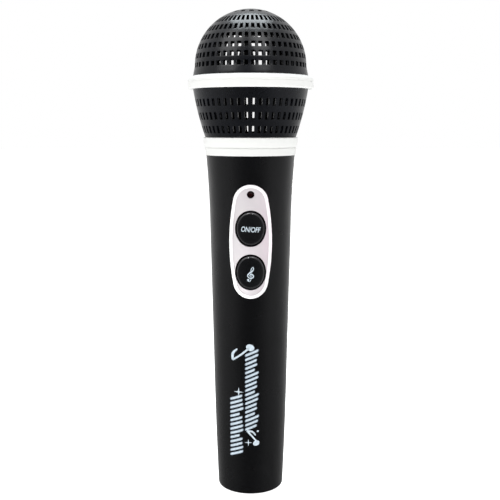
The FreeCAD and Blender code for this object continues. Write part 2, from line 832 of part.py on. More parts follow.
def make_lamps():
    seat = "ring_web_top + chassis_thickness"
    blank = rod("lamp_board_disc", "lamp_board_outer", "lamp_board_thickness", z=seat)
    bore = rod("lamp_board_bore", "lamp_board_inner", "lamp_board_thickness + 2", z=f"{seat} - 1")
    board = subtract("head_lamp_board", blank, bore, *lead_notches("lamp_board", f"{seat} - 1", "4"))
    piece(board, "head_lamp_board")
    lamps = []
    base = f"{seat} + lamp_board_thickness"
    for index, (x, y) in enumerate(ring_places("lamp_ring", 4, 45)):
        stem = rod(f"lamp_stem_{index}", "lamp_radius", "lamp_height - lamp_radius", x, y, base)
        tip = doc.addObject("Part::Sphere", f"lamp_tip_{index}")
        bind(tip, Radius="lamp_radius", at_x=x, at_y=y, at_z=f"{base} + lamp_height - lamp_radius")
        lamps.append(union(f"lamp_{index}", stem, tip))
    piece(group("head_lamps", lamps), "head_lamps")


def make_microphone_capsule():
    sleeve = rod("boot_sleeve", "boot_radius", "boot_height", z="bridge_top")
    well = rod("boot_well", "capsule_radius", "boot_height", z="bridge_top + 1.2")
    piece(subtract("mic_boot", sleeve, well), "mic_boot")
    can = rod("capsule_can", "capsule_radius", "capsule_height", z="bridge_top + 1.2")
    mouth = rod("capsule_mouth", "1.2", "0.5", z="bridge_top + 1.2 + capsule_height - 0.5")
    piece(subtract("mic_capsule", can, mouth), "mic_capsule")


def make_speaker():
    top = "ring_web_top"
    body = lathe("speaker_frame", [
        ("speaker_neck - 1", f"{top} - speaker_depth - speaker_flange"),
        ("speaker_neck + 0.6", f"{top} - speaker_depth - speaker_flange"),
        ("speaker_radius - 1.4", f"{top} - speaker_flange"),
        ("speaker_radius", f"{top} - speaker_flange"),
        ("speaker_radius", top),
        ("speaker_radius - 2.6", top),
        ("speaker_radius - 2.6", f"{top} - speaker_flange"),
        ("speaker_neck - 1", f"{top} - speaker_depth"),
    ])
    window = body_sketch(body, "frame_windows")
    rectangle(window, "11.5", f"{top} - 9", "20", f"{top} - 4")
    slots(body, window, "40", "4", "windows")
    lathe("speaker_cone", [
        ("0", f"{top} - 7.3"),
        ("2.6", f"{top} - 7.6"),
        ("4.6", f"{top} - 8.8"),
        ("13.2", f"{top} - speaker_flange"),
        ("speaker_radius - 2.7", f"{top} - speaker_flange"),
        ("speaker_radius - 2.7", f"{top} - 0.4"),
        ("12.9", f"{top} - 0.4"),
        ("4.6", f"{top} - 7.8"),
        ("2.8", f"{top} - 6.7"),
        ("0", f"{top} - 6.4"),
    ])
    lathe("speaker_magnet", [
        ("0", f"{top} - speaker_depth - speaker_flange - magnet_height"),
        ("magnet_radius - 0.6", f"{top} - speaker_depth - speaker_flange - magnet_height"),
        ("magnet_radius", f"{top} - speaker_depth - speaker_flange - magnet_height + 0.6"),
        ("magnet_radius", f"{top} - speaker_depth - speaker_flange"),
        ("0", f"{top} - speaker_depth - speaker_flange"),
    ])
    screws = []
    for index, (x, y) in enumerate(ring_places("speaker_screw_ring", 3, 30)):
        head = rod(f"speaker_screw_head_{index}", "screw_head + 0.2", "1.4", x, y,
                   f"{top} - 1.4 - speaker_flange")
        neck = rod(f"speaker_screw_neck_{index}", "screw_core", "chassis_thickness + speaker_flange", x, y,
                   f"{top} - speaker_flange")
        screws.append(union(f"speaker_screw_{index}", head, neck))
    piece(group("speaker_screws", screws), "speaker_screws")


# ---------------------------------------------------------------- control plate, buttons and board

def make_button_plate():
    height = "plate_high_height - plate_low_height"
    rim = cone("plate_rim_cone", "plate_low_radius + plate_rim_height",
               "plate_high_radius + plate_rim_height", height, "plate_low_height")
    field = cone("plate_field_cone", "plate_low_radius", "plate_high_radius", height, "plate_low_height")
    inside = cone("plate_inside_cone", "plate_skirt_low_radius", "plate_skirt_high_radius", height,
                  "plate_low_height")
    hollow = cone("plate_hollow_cone", "plate_skirt_low_radius - plate_skirt_thickness",
                  "plate_skirt_high_radius - plate_skirt_thickness", height, "plate_low_height")
    face = overlap("plate_face", prism("plate_bar", plate_oval("0"), "-25", "plate_back"), rim)
    skirt_bar = prism("plate_skirt_bar", plate_oval("plate_skirt"), "-25", "-12.6")
    skirt = overlap("plate_skirt", skirt_bar, inside)
    blank = union("plate_blank", face, subtract("plate_skirt_ring", skirt, hollow))
    field_bar = prism("plate_field_bar", plate_oval("-plate_rim_width"), "-25", "-14")
    tools = [subtract("plate_field_tool", field_bar, field)]
    for name in ("power", "music"):
        tools.append(prism(f"{name}_hole", button_oval(f"{name}_height", "0"), "-25", "-10"))
        tools.append(prism(f"{name}_flange_room", button_oval(f"{name}_height", "button_flange + 0.35"),
                           "plate_back", "-10"))
    tools.append(rod("indicator_hole_tool", "indicator_hole", "12", "0", "-25", "indicator_height", "Y"))
    seat = "indicator_tip + indicator_length - indicator_flange_thickness - 0.05"
    tools.append(rod("indicator_seat_tool", "indicator_radius + indicator_flange + 0.15", "6", "0",
                     seat, "indicator_height", "Y"))
    piece(subtract("button_plate", blank, *tools), "button_plate")


def rounded(name, base, radius, chooses):
    """A fillet on the edges of a Part shape that the given test chooses."""
    doc.recompute()
    fillet = doc.addObject("Part::Fillet", name)
    fillet.Base = base
    size = dim(radius) if radius in DIMENSIONS else float(radius)
    fillet.Edges = [
        (index, size, size) for index, edge in enumerate(base.Shape.Edges, start=1) if chooses(edge)
    ]
    return fillet


def make_button(name):
    """A cap with a gently curved face, the flange that keeps it in, and the switch plunger behind it."""
    height = f"{name}_height"
    shank = prism(f"{name}_shank", button_oval(height, "-button_gap"), "-24", "plate_back + button_back_gap")
    crown = doc.addObject("Part::Torus", f"{name}_crown")
    crown.Placement = Placement(Vector(), Rotation(Vector(0, 1, 0), 90))
    bind(crown, Radius1="button_long_curve - button_cross_curve", Radius2="button_cross_curve",
         at_y="button_front + button_long_curve", at_z=height)
    core = overlap(f"{name}_core", shank, crown)
    flange_back = "plate_back + button_back_gap + button_flange_thickness"
    flange = prism(f"{name}_flange", button_oval(height, "button_flange"),
                   "plate_back + button_back_gap", flange_back)
    soft = rounded(f"{name}_soft", core, "button_round",
                   lambda edge: edge.BoundBox.YMax < dim("plate_back") - 3 and edge.Length > 1)
    piece(union(f"{name}_button", soft, flange), f"{name}_button")
    entry = "board_front - switch_height + plunger_entry"
    plunger = rod(f"{name}_plunger", "plunger_radius", f"{entry} - ({flange_back})", "0",
                  flange_back, height, "Y")
    piece(plunger, f"{name}_plunger")
    half = "switch_size / 2"
    housing = box(f"{name}_housing", "switch_size", "switch_height", "switch_size", f"-{half}",
                  "board_front - switch_height", f"{height} - {half}")
    well = rod(f"{name}_well", "plunger_radius + plunger_clearance",
               "1 + plunger_entry + button_travel + 0.1", "0", "board_front - switch_height - 1", height, "Y")
    piece(subtract(f"{name}_switch", housing, well), f"{name}_switch")


def make_indicator():
    stem_length = "indicator_length - indicator_radius"
    stem = rod("indicator_stem", "indicator_radius", stem_length, "0", "indicator_tip + indicator_radius",
               "indicator_height", "Y")
    tip = doc.addObject("Part::Sphere", "indicator_dome")
    bind(tip, Radius="indicator_radius", at_y="indicator_tip + indicator_radius", at_z="indicator_height")
    flange = rod("indicator_base", "indicator_radius + indicator_flange", "indicator_flange_thickness", "0",
                 "indicator_tip + indicator_length - indicator_flange_thickness", "indicator_height", "Y")
    piece(union("indicator_led", stem, tip, flange), "indicator_led")
    legs = [
        box(f"indicator_leg_{side}", "0.5", "board_front - (indicator_tip + indicator_length)", "0.5",
            f"{x} - 0.25", "indicator_tip + indicator_length", "indicator_height - 0.25")
        for side, x in (("left", "-1.27 / 2"), ("right", "1.27 / 2"))
    ]
    piece(group("indicator_legs", legs), "indicator_legs")


def make_board():
    blank = box("board_blank", "board_width", "board_thickness", "board_top - board_bottom",
                "-board_width / 2", "board_front", "board_bottom")
    holes = []
    screws = []
    back = "board_front + board_thickness"
    for side, sign in (("left", "-"), ("right", "")):
        x = f"{sign}board_screw_spread"
        holes.append(rod(f"board_hole_{side}", "screw_core + 0.2", "board_thickness + 2", x,
                         "board_front - 1", "board_screw_height", "Y"))
        screws.append(screw(f"board_screw_{side}", x, "board_screw_height", back, "board_thickness + 3.6"))
    piece(subtract("main_board", blank, *holes), "main_board")
    piece(group("board_screws", screws), "board_screws")
    drop = doc.addObject("Part::Ellipsoid", "blob_drop")
    bind(drop, Radius1="1.6", Radius2="5.2", Radius3="4.6", at_y=back, at_z="plate_centre - 4")
    drop.Placement.Rotation = Rotation(Vector(1, 0, 0), 90)
    cap = box("blob_half", "20", "6", "20", "-10", back, "plate_centre - 14")
    piece(overlap("chip_blob", drop, cap), "chip_blob")
    cans = []
    for side, x, z in (("left", "-6.2", "143"), ("right", "6.2", "139")):
        can = rod(f"capacitor_{side}_can", "2.5", "7", x, back, z, "Y")
        cross = box(f"capacitor_{side}_vent", "4", "0.3", "0.3", f"{x} - 2", f"{back} + 6.8", f"{z} - 0.15")
        cans.append(subtract(f"capacitor_{side}", can, cross))
    piece(group("capacitors", cans), "capacitors")


def make_body_screws():
    reach = "screw_seat + screw_reach"
    screws = [
        screw("low_screw", "0", "low_screw_height", "screw_seat", reach),
        screw("high_screw", "0", "high_screw_height", "screw_seat", reach),
    ]
    piece(group("body_screws", screws), "body_screws")


# ---------------------------------------------------------------- battery bay

def make_battery_tray():
    """Ends, floor and middle rib of the bay, with the post that the door's screw goes into."""
    low = "bay_bottom - bay_end"
    height = "bay_top - bay_bottom + 2 * bay_end"
    envelope = cone("tray_envelope", "tray_low_radius", "tray_high_radius", height, low)
    slab = "40"
    floor_front = "tray_floor - tray_floor_thickness"
    floor = box("tray_floor_slab", slab, "tray_floor_thickness", height, "-20", floor_front, low)
    reach = "tray_side - tray_floor"
    low_end = box("tray_low_slab", slab, reach, "bay_end", "-20", "tray_floor", low)
    high_end = box("tray_high_slab", slab, reach, "bay_end", "-20", "tray_floor", "bay_top")
    rib = box("tray_rib", "1.2", "4.2", "bay_top - bay_bottom - contact_thickness", "-0.6", "tray_floor",
              "bay_bottom + contact_thickness")
    inside = overlap("tray_inside", envelope, union("tray_slabs", floor, low_end, high_end, rib))
    arm = box("tray_arm", "6.4", "tray_floor_thickness", "9", "-3.2", floor_front, "bay_top")
    post = rod("tray_post", "tray_boss_radius", "tray_boss_top - tray_floor + 0.5", "0", "tray_floor - 0.5",
               "door_screw_height", "Y")
    bore = rod("tray_post_bore", "tray_boss_bore", "8", "0", "tray_boss_top - 6", "door_screw_height", "Y")
    piece(subtract("battery_tray", union("tray_solid", inside, arm, post), bore), "battery_tray")


def make_cell(label, side, upright):
    """An AA cell: a rounded can, its insulating step and the button contact."""
    body = lathe(label, [
        ("0", "0"),
        ("cell_radius - 0.6", "0"),
        ("cell_radius", "0.6", "0.6"),
        ("cell_radius", "cell_length - 0.5"),
        ("cell_radius - 0.5", "cell_length", "0.5"),
        ("cell_nub_radius", "cell_length"),
        ("cell_nub_radius - 0.3", "cell_length + cell_nub"),
        ("0", "cell_length + cell_nub"),
    ])
    whole = "(cell_length + cell_nub)"
    if upright:
        bind(body, at_z=f"bay_top - contact_thickness - {whole}")
    else:
        body.Placement = Placement(Vector(), Rotation(Vector(1, 0, 0), 180))
        bind(body, at_z=f"bay_bottom + contact_thickness + {whole}")
    bind(body, at_x=f"{side}cell_spread", at_y="cell_depth")


def coil(label, x, foot, tip):
    """A conical contact spring: turns of wire that narrow from its foot to the end that meets the cell."""
    steps = 12
    count = int(dim("spring_turns")) * steps
    wide = dim("spring_foot_radius")
    narrow = dim("spring_tip_radius")
    inset = math.copysign(dim("spring_wire") / 2, tip - foot)
    points = []
    for step in range(count + 1):
        share = step / count
        angle = 2 * math.pi * step / steps
        radius = wide + (narrow - wide) * share
        height = (foot + inset) + (tip - foot - 2 * inset) * share
        points.append((x + radius * math.cos(angle), dim("cell_depth") + radius * math.sin(angle), height))
    return wire(label, points, dim("spring_wire"))


def make_contacts():
    whole = dim("cell_length") + dim("cell_nub")
    thickness = dim("contact_thickness")
    spread = dim("cell_spread")
    low = dim("bay_bottom") + thickness
    high = dim("bay_top") - thickness
    loose_solid("contact_springs", [
        coil("left spring", -spread, low, high - whole),
        coil("right spring", spread, high, low + whole),
    ])
    plates = [
        box(f"contact_{side}", "9", "9", "contact_thickness", f"{sign}cell_spread - 4.5", "cell_depth - 4.5",
            "bay_top - contact_thickness")
        for side, sign in (("left", "-"), ("right", ""))
    ]
    piece(group("contact_plates", plates), "contact_plates")
    bridge = box("contact_bridge", "24", "9", "contact_thickness", "-12", "cell_depth - 4.5", "bay_bottom")
    piece(bridge, "contact_bridge")


def make_door_screw():
    reach = "door_screw_seat - door_screw_tip"
    piece(screw("door_screw", "0", "door_screw_height", "door_screw_seat", reach), "door_screw")


# ---------------------------------------------------------------- leads

def make_leads():
    back = dim("board_front") + dim("board_thickness")
    end = dim("bay_top") + dim("bay_end")
    head = dim("ring_web_top") + dim("chassis_thickness")
    notch = dim("lead_notch_centre")
    routes = {
        "battery_lead_red": [
            [(-7.3, 3.0, end), (-7.3, 3.0, 74.0), (-7.8, 0.5, 84.0), (-7.0, -3.5, 94.0), (-4.0, -5.2, 104.0),
             (-4.0, back, 108.0)],
        ],
        "battery_lead_black": [
            [(7.3, 3.0, end), (7.3, 3.0, 75.0), (7.7, 1.0, 85.0), (6.6, -3.0, 95.0), (4.4, -5.0, 105.5),
             (4.0, back, 109.5)],
        ],
        "speaker_leads": [
            [(7.6, back, 150.0), (7.6, -6.6, 154.0), (8.4, -3.0, 163.0), (9.2, 1.0, 173.0),
             (11.5, 2.5, 183.0), (13.4, 2.6, 192.0)],
            [(7.6, back, 147.0), (9.0, -5.6, 152.0), (9.6, -1.0, 162.0), (8.4, 3.4, 173.0),
             (10.3, 5.6, 183.0), (11.8, 6.2, 191.5)],
        ],
        "lamp_leads": [
            [(-7.6, back, 151.0), (-8.0, -6.4, 155.0), (-9.0, -2.0, 164.0), (-11.5, 0.6, 175.0),
             (-17.0, 0.6, 185.0), (-notch, 0.6, 195.0), (-notch, 0.6, head)],
            [(-7.6, back, 148.0), (-9.6, -6.0, 153.0), (-10.0, -3.4, 163.0), (-11.0, -1.0, 174.5),
             (-16.6, -1.0, 185.4), (-notch, -0.9, 196.0), (-notch, -0.9, head)],
        ],
        "mic_lead": [
            [(3.2, back, 156.2), (5.6, -6.0, 158.4), (6.2, -4.6, 167.0), (12.4, -0.6, 176.0),
             (17.6, 0.2, 186.0), (notch, 0.2, 196.0), (notch, 0.2, 209.0), (14.0, 0.2, 215.0),
             (6.6, 0.2, 216.6), (4.4, 0.2, 220.6)],
        ],
    }
    for label, runs in routes.items():
        loose_solid(label, [wire(label, points, dim("lead_diameter")) for points in runs])


# ---------------------------------------------------------------- build and write

def write_parts():
    doc.recompute()
    for thing in doc.Objects:
        if "Invalid" in thing.State or "Error" in thing.State:
            raise RuntimeError(f"{thing.Name} failed: {thing.State}")
    for thing in PIECES:
        shape = thing.Shape
        if shape.isNull() or not shape.isValid() or not shape.Solids:
            raise RuntimeError(f"{thing.Label} has no valid solid")
    os.makedirs("parts", exist_ok=True)
    for thing in PIECES:
        thing.Shape.exportStep(f"parts/{thing.Label}.step")
        print(f"{thing.Label}: {len(thing.Shape.Solids)} solid(s), {thing.Shape.Volume / 1000:.3f} cm3")


make_body_front()
make_body_rear()
make_battery_door()
make_neck_collar()
make_equator_ring()
make_grille_dome()
make_grille_bowl()
make_liners()
make_head_chassis()
make_lamps()
make_microphone_capsule()
make_speaker()
make_button_plate()
make_button("power")
make_button("music")
make_indicator()
make_board()
make_body_screws()
make_battery_tray()
make_cell("battery_left", "-", upright=True)
make_cell("battery_right", "", upright=False)
make_contacts()
make_door_screw()
make_leads()
write_parts()
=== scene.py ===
import json
import math

import bmesh
import bpy
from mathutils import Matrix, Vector
from mathutils.bvhtree import BVHTree


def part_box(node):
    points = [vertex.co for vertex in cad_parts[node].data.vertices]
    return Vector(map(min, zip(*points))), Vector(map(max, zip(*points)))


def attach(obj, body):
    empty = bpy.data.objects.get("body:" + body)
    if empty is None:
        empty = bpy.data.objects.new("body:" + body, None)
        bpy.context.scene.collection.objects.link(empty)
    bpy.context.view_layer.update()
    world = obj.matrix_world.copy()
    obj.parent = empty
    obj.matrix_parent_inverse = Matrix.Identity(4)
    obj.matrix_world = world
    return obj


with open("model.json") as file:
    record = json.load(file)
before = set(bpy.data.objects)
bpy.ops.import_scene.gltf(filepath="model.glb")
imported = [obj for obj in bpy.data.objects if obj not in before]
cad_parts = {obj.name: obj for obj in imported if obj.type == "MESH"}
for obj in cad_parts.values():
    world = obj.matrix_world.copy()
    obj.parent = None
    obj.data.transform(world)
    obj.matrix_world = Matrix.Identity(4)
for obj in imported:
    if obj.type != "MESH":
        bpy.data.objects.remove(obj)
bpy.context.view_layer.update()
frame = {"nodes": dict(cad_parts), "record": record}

MM = 0.001
NODES = frame["nodes"]

# The cone that the control plate's field follows (height and radius low down, then high up), and how far the
# plate's rim stands above it, in millimetres
PLATE_FIELD = (98.0, 19.47, 160.0, 21.17)
PLATE_RIM = 0.35
# The heights of the two caps' middles, and the size of their ovals, in millimetres
CAP_HEIGHTS = (135.65, 114.45)
CAP_HALF_WIDTH = 7.5
CAP_HALF_LENGTH = 8.8
# How far from a cell's middle its copper band begins, and how soft the band's edge is, in millimetres
BAND_START = 12.0
BAND_EDGE = 0.1


def middle_of(node):
    """The middle of a CAD node's box, in millimetres."""
    low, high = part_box(node)
    return (low + high) / 2 / MM


# ---------------------------------------------------------------- materials


class Finish:
    """A node material around one Principled shader, built from object-space noise."""

    def __init__(self, name, colour, roughness, metallic=0.0):
        self.material = bpy.data.materials.new(name)
        self.material.use_nodes = True
        self.tree = self.material.node_tree
        self.shader = next(node for node in self.tree.nodes if node.type == "BSDF_PRINCIPLED")
        self.shader.inputs["Base Color"].default_value = (*colour, 1.0)
        self.shader.inputs["Roughness"].default_value = roughness
        self.shader.inputs["Metallic"].default_value = metallic
        self.colour = colour
        self.tint = None
        self.normal = None
        self.place = self.add("ShaderNodeTexCoord").outputs["Object"]

    def add(self, kind, **values):
        node = self.tree.nodes.new(kind)
        for name, value in values.items():
            setattr(node, name, value)
        return node

    def link(self, source, target):
        self.tree.links.new(source, target)

    def set(self, **values):
        for name, value in values.items():
            self.shader.inputs[name.replace("_", " ")].default_value = value
        return self

    def noise(self, scale, detail=2.0, stretch=(1.0, 1.0, 1.0)):
        mapping = self.add("ShaderNodeMapping")
        mapping.inputs["Scale"].default_value = stretch
        self.link(self.place, mapping.inputs["Vector"])
        noise = self.add("ShaderNodeTexNoise")
        noise.inputs["Scale"].default_value = scale
        noise.inputs["Detail"].default_value = detail
        self.link(mapping.outputs["Vector"], noise.inputs["Vector"])
        return noise.outputs["Fac"]

    def ramp(self, source, low, high, from_low=0.3, from_high=0.7):
        """Spread a part of a value's range over another one. Most noise lies between 0.3 and 0.7."""
        spread = self.add("ShaderNodeMapRange")
        spread.inputs["From Min"].default_value = from_low
        spread.inputs["From Max"].default_value = from_high
        spread.inputs["To Min"].default_value = low
        spread.inputs["To Max"].default_value = high
        self.link(source, spread.inputs["Value"])
        return spread.outputs["Result"]

    def mottle(self, scale, darker, lighter, **noise):
        """Vary the colour softly between two multiples of itself."""
        mix = self.add("ShaderNodeMix", data_type="RGBA")
        mix.inputs["A"].default_value = (*[channel * darker for channel in self.colour], 1.0)
        mix.inputs["B"].default_value = (*[channel * lighter for channel in self.colour], 1.0)
        self.link(self.ramp(self.noise(scale, **noise), 0.0, 1.0), mix.inputs["Factor"])
        self.tint = mix.outputs["Result"]
        self.link(self.tint, self.shader.inputs["Base Color"])
        return self

    def repaint(self, mask, colour):
        """Change the mottled colour to another one where the mask is 1."""
        mix = self.add("ShaderNodeMix", data_type="RGBA")
        self.link(self.tint, mix.inputs["A"])
        mix.inputs["B"].default_value = (*colour, 1.0)
        self.link(mask, mix.inputs["Factor"])
        self.tint = mix.outputs["Result"]
        self.link(self.tint, self.shader.inputs["Base Color"])
        return self

    def above_cone(self, low_z, low_radius, high_z, high_radius, start, full):
        """Rise from 0 to 1 between two heights over a cone about the Z axis. Negative ones are below it."""
        flat = self.add("ShaderNodeMapping")
        flat.inputs["Scale"].default_value = (1.0, 1.0, 0.0)
        self.link(self.place, flat.inputs["Vector"])
        radius = self.add("ShaderNodeVectorMath", operation="LENGTH")
        self.link(flat.outputs["Vector"], radius.inputs[0])
        axes = self.add("ShaderNodeSeparateXYZ")
        self.link(self.place, axes.inputs["Vector"])
        cone = self.add("ShaderNodeMapRange", clamp=False)
        cone.inputs["From Min"].default_value = low_z * MM
        cone.inputs["From Max"].default_value = high_z * MM
        cone.inputs["To Min"].default_value = low_radius * MM
        cone.inputs["To Max"].default_value = high_radius * MM
        self.link(axes.outputs["Z"], cone.inputs["Value"])
        proud = self.add("ShaderNodeMath", operation="SUBTRACT")
        self.link(radius.outputs["Value"], proud.inputs[0])
        self.link(cone.outputs["Result"], proud.inputs[1])
        return self.ramp(proud.outputs["Value"], 0.0, 1.0, start * MM, full * MM)

    def across_cap(self, start, full):
        """Rise from 0 to 1 between two distances from a cap's middle, where 1 is its oval edge."""
        middle = (CAP_HEIGHTS[0] + CAP_HEIGHTS[1]) / 2
        spread = abs(CAP_HEIGHTS[0] - CAP_HEIGHTS[1]) / 2
        steps = (
            ("SUBTRACT", (0.0, 0.0, middle * MM)),
            ("ABSOLUTE", None),
            ("SUBTRACT", (0.0, 0.0, spread * MM)),
            ("DIVIDE", (CAP_HALF_WIDTH * MM, 1.0, CAP_HALF_LENGTH * MM)),
            ("MULTIPLY", (1.0, 0.0, 1.0)),
        )
        place = self.place
        for operation, value in steps:
            step = self.add("ShaderNodeVectorMath", operation=operation)
            self.link(place, step.inputs[0])
            if value is not None:
                step.inputs[1].default_value = value
            place = step.outputs["Vector"]
        distance = self.add("ShaderNodeVectorMath", operation="LENGTH")
        self.link(place, distance.inputs[0])
        return self.ramp(distance.outputs["Value"], 0.0, 1.0, start, full)

    def nub_end(self, middle):
        """1 on the nub's end of each cell: above a middle in metres on the left, below it on the right."""
        axes = self.add("ShaderNodeSeparateXYZ")
        self.link(self.place, axes.inputs["Vector"])
        side = self.add("ShaderNodeMath", operation="SIGN")
        self.link(axes.outputs["X"], side.inputs[0])
        height = self.add("ShaderNodeMath", operation="SUBTRACT")
        self.link(axes.outputs["Z"], height.inputs[0])
        height.inputs[1].default_value = middle
        along = self.add("ShaderNodeMath", operation="MULTIPLY")
        self.link(height.outputs["Value"], along.inputs[0])
        self.link(side.outputs["Value"], along.inputs[1])
        near = -(BAND_START - BAND_EDGE) * MM
        far = -(BAND_START + BAND_EDGE) * MM
        return self.ramp(along.outputs["Value"], 1.0, 0.0, far, near)

    def uneven_gloss(self, scale, low, high, **noise):
        self.link(self.ramp(self.noise(scale, **noise), low, high), self.shader.inputs["Roughness"])
        return self

    def bump(self, height, strength, distance):
        bump = self.add("ShaderNodeBump")
        bump.inputs["Strength"].default_value = strength
        bump.inputs["Distance"].default_value = distance
        self.link(height, bump.inputs["Height"])
        if self.normal is not None:
            self.link(self.normal, bump.inputs["Normal"])
        self.normal = bump.outputs["Normal"]
        self.link(self.normal, self.shader.inputs["Normal"])
        return self

    def grain(self, scale, strength, distance, **noise):
        return self.bump(self.noise(scale, **noise), strength, distance)

    def specks(self, scale, size, strength, distance):
        """Sparse tiny dust nibs under the gloss."""
        dots = self.add("ShaderNodeTexVoronoi", feature="F1")
        dots.inputs["Scale"].default_value = scale
        self.link(self.place, dots.inputs["Vector"])
        return self.bump(self.ramp(dots.outputs["Distance"], 1.0, 0.0, 0.0, size), strength, distance)


def handle_black():
    finish = Finish("handle_black", (0.0030, 0.0031, 0.0037), roughness=0.24)
    finish.mottle(38.0, darker=0.85, lighter=1.2, detail=3.0)
    finish.uneven_gloss(120.0, low=0.20, high=0.28, detail=4.0)
    finish.grain(2600.0, strength=0.05, distance=0.00002, detail=2.0)
    finish.grain(55.0, strength=0.08, distance=0.0002, detail=1.0)
    return finish.specks(420.0, size=0.05, strength=0.12, distance=0.00004)


def grille_black():
    finish = Finish("grille_black", (0.0040, 0.0046, 0.0066), roughness=0.28)
    finish.mottle(60.0, darker=0.8, lighter=1.25, detail=3.0)
    finish.uneven_gloss(260.0, low=0.23, high=0.33, detail=3.0)
    return finish.grain(1800.0, strength=0.10, distance=0.00004, detail=3.0)


def liner_smoke():
    finish = Finish("liner_smoke", (0.00003, 0.00003, 0.00004), roughness=0.04)
    finish.set(IOR=1.3)
    finish.uneven_gloss(90.0, low=0.025, high=0.05, detail=2.0)
    return finish.grain(70.0, strength=0.10, distance=0.0003, detail=1.5)


def silver_trim():
    finish = Finish("silver_trim", (0.80, 0.80, 0.78), roughness=0.34, metallic=0.04)
    finish.mottle(24.0, darker=0.97, lighter=1.02, detail=2.0)
    finish.uneven_gloss(300.0, low=0.28, high=0.42, detail=4.0)
    finish.grain(3400.0, strength=0.12, distance=0.00003, detail=2.0)
    return finish.grain(60.0, strength=0.06, distance=0.0002, stretch=(1.0, 1.0, 3.0))


def plate_silver():
    """Satin lacquer, with a painted highlight in near white on its raised edge and painted shade in black on
    the walls inside the holes.
    """
    finish = Finish("plate_silver", (0.62, 0.59, 0.60), roughness=0.38, metallic=0.2)
    finish.mottle(45.0, darker=0.93, lighter=1.05, detail=3.0)
    # Painted highlight: the raised rim is painted near white in place of the light that its bevel catches.
    painted_rim_highlight = finish.above_cone(*PLATE_FIELD, start=0.4 * PLATE_RIM, full=0.8 * PLATE_RIM)
    finish.repaint(painted_rim_highlight, (0.97, 0.97, 0.965))
    # Painted shade: the hole walls below the field are painted black, where shade falls in the gaps round the
    # caps.
    painted_hole_shade = finish.above_cone(*PLATE_FIELD, start=-0.5, full=-0.9)
    finish.repaint(painted_hole_shade, (0.004, 0.004, 0.004))
    finish.uneven_gloss(420.0, low=0.33, high=0.45, detail=4.0)
    finish.grain(4200.0, strength=0.16, distance=0.00003, detail=2.0)
    return finish.grain(80.0, strength=0.06, distance=0.0002)


def button_black():
    """Glossy black, with a painted highlight as a paler band along the rounded edge of the cap, and painted
    shade in black down its sides.
    """
    finish = Finish("button_black", (0.0036, 0.0037, 0.0042), roughness=0.14)
    finish.mottle(90.0, darker=0.85, lighter=1.2, detail=2.0)
    # Painted highlight: a paler band where the cap's rounded edge catches the light.
    finish.repaint(finish.across_cap(start=0.77, full=0.85), (0.018, 0.018, 0.019))
    # Painted shade: the cap's sides are painted black, as the gap round the cap lies in shade.
    finish.repaint(finish.across_cap(start=0.95, full=0.98), (0.0002, 0.0002, 0.0002))
    finish.uneven_gloss(300.0, low=0.11, high=0.17, detail=3.0)
    return finish.grain(2400.0, strength=0.05, distance=0.00002, detail=2.0)


def white_print():
    finish = Finish("white_print", (0.60, 0.69, 0.76), roughness=0.45)
    finish.mottle(700.0, darker=0.86, lighter=1.04, detail=3.0)
    return finish.grain(3000.0, strength=0.2, distance=0.00002, detail=2.0)


def shadow_print():
    finish = Finish("shadow_print", (0.27, 0.33, 0.40), roughness=0.5)
    finish.mottle(700.0, darker=0.8, lighter=1.15, detail=3.0)
    return finish.grain(3000.0, strength=0.2, distance=0.00002, detail=2.0)


def indicator_red():
    finish = Finish("indicator_red", (0.009, 0.0007, 0.0007), roughness=0.10)
    finish.set(IOR=1.3)
    return finish.mottle(500.0, darker=0.8, lighter=1.3)


def lamp_lens():
    finish = Finish("lamp_lens", (0.85, 0.9, 0.95), roughness=0.06)
    finish.set(Transmission_Weight=0.85, IOR=1.5)
    return finish.grain(300.0, strength=0.05, distance=0.00005)


def inner_plastic():
    finish = Finish("inner_plastic", (0.018, 0.018, 0.019), roughness=0.55)
    finish.mottle(120.0, darker=0.85, lighter=1.15)
    return finish.grain(2200.0, strength=0.25, distance=0.00005, detail=3.0)


def circuit_board():
    finish = Finish("circuit_board", (0.02, 0.12, 0.045), roughness=0.35)
    finish.mottle(260.0, darker=0.7, lighter=1.3, detail=1.0)
    return finish.grain(900.0, strength=0.2, distance=0.00004)


def steel():
    finish = Finish("steel", (0.55, 0.55, 0.56), roughness=0.32, metallic=1.0)
    finish.mottle(400.0, darker=0.85, lighter=1.05)
    finish.uneven_gloss(500.0, low=0.24, high=0.42)
    return finish.grain(1500.0, strength=0.12, distance=0.00003, stretch=(1.0, 6.0, 1.0))


def ferrite():
    finish = Finish("ferrite", (0.035, 0.035, 0.037), roughness=0.6)
    finish.mottle(500.0, darker=0.7, lighter=1.3)
    return finish.grain(1800.0, strength=0.3, distance=0.00005)


def cone_paper():
    finish = Finish("cone_paper", (0.025, 0.025, 0.026), roughness=0.85)
    finish.mottle(900.0, darker=0.6, lighter=1.5)
    return finish.grain(2500.0, strength=0.5, distance=0.0001)


def soft_rubber():
    finish = Finish("soft_rubber", (0.014, 0.014, 0.014), roughness=0.75)
    finish.mottle(300.0, darker=0.8, lighter=1.2)
    return finish.grain(2500.0, strength=0.3, distance=0.00004)


def plunger_plastic():
    finish = Finish("plunger_plastic", (0.012, 0.012, 0.012), roughness=0.45)
    finish.mottle(500.0, darker=0.8, lighter=1.2)
    return finish.grain(2500.0, strength=0.2, distance=0.00003)


def switch_plastic():
    finish = Finish("switch_plastic", (0.03, 0.03, 0.032), roughness=0.5)
    finish.mottle(500.0, darker=0.8, lighter=1.2)
    return finish.grain(2500.0, strength=0.2, distance=0.00003)


def epoxy_black():
    finish = Finish("epoxy_black", (0.006, 0.006, 0.006), roughness=0.15)
    finish.mottle(300.0, darker=0.8, lighter=1.2)
    return finish.grain(200.0, strength=0.3, distance=0.0002)


def capacitor_sleeve():
    finish = Finish("capacitor_sleeve", (0.05, 0.07, 0.16), roughness=0.4)
    finish.mottle(300.0, darker=0.8, lighter=1.2)
    return finish.grain(900.0, strength=0.1, distance=0.00003)


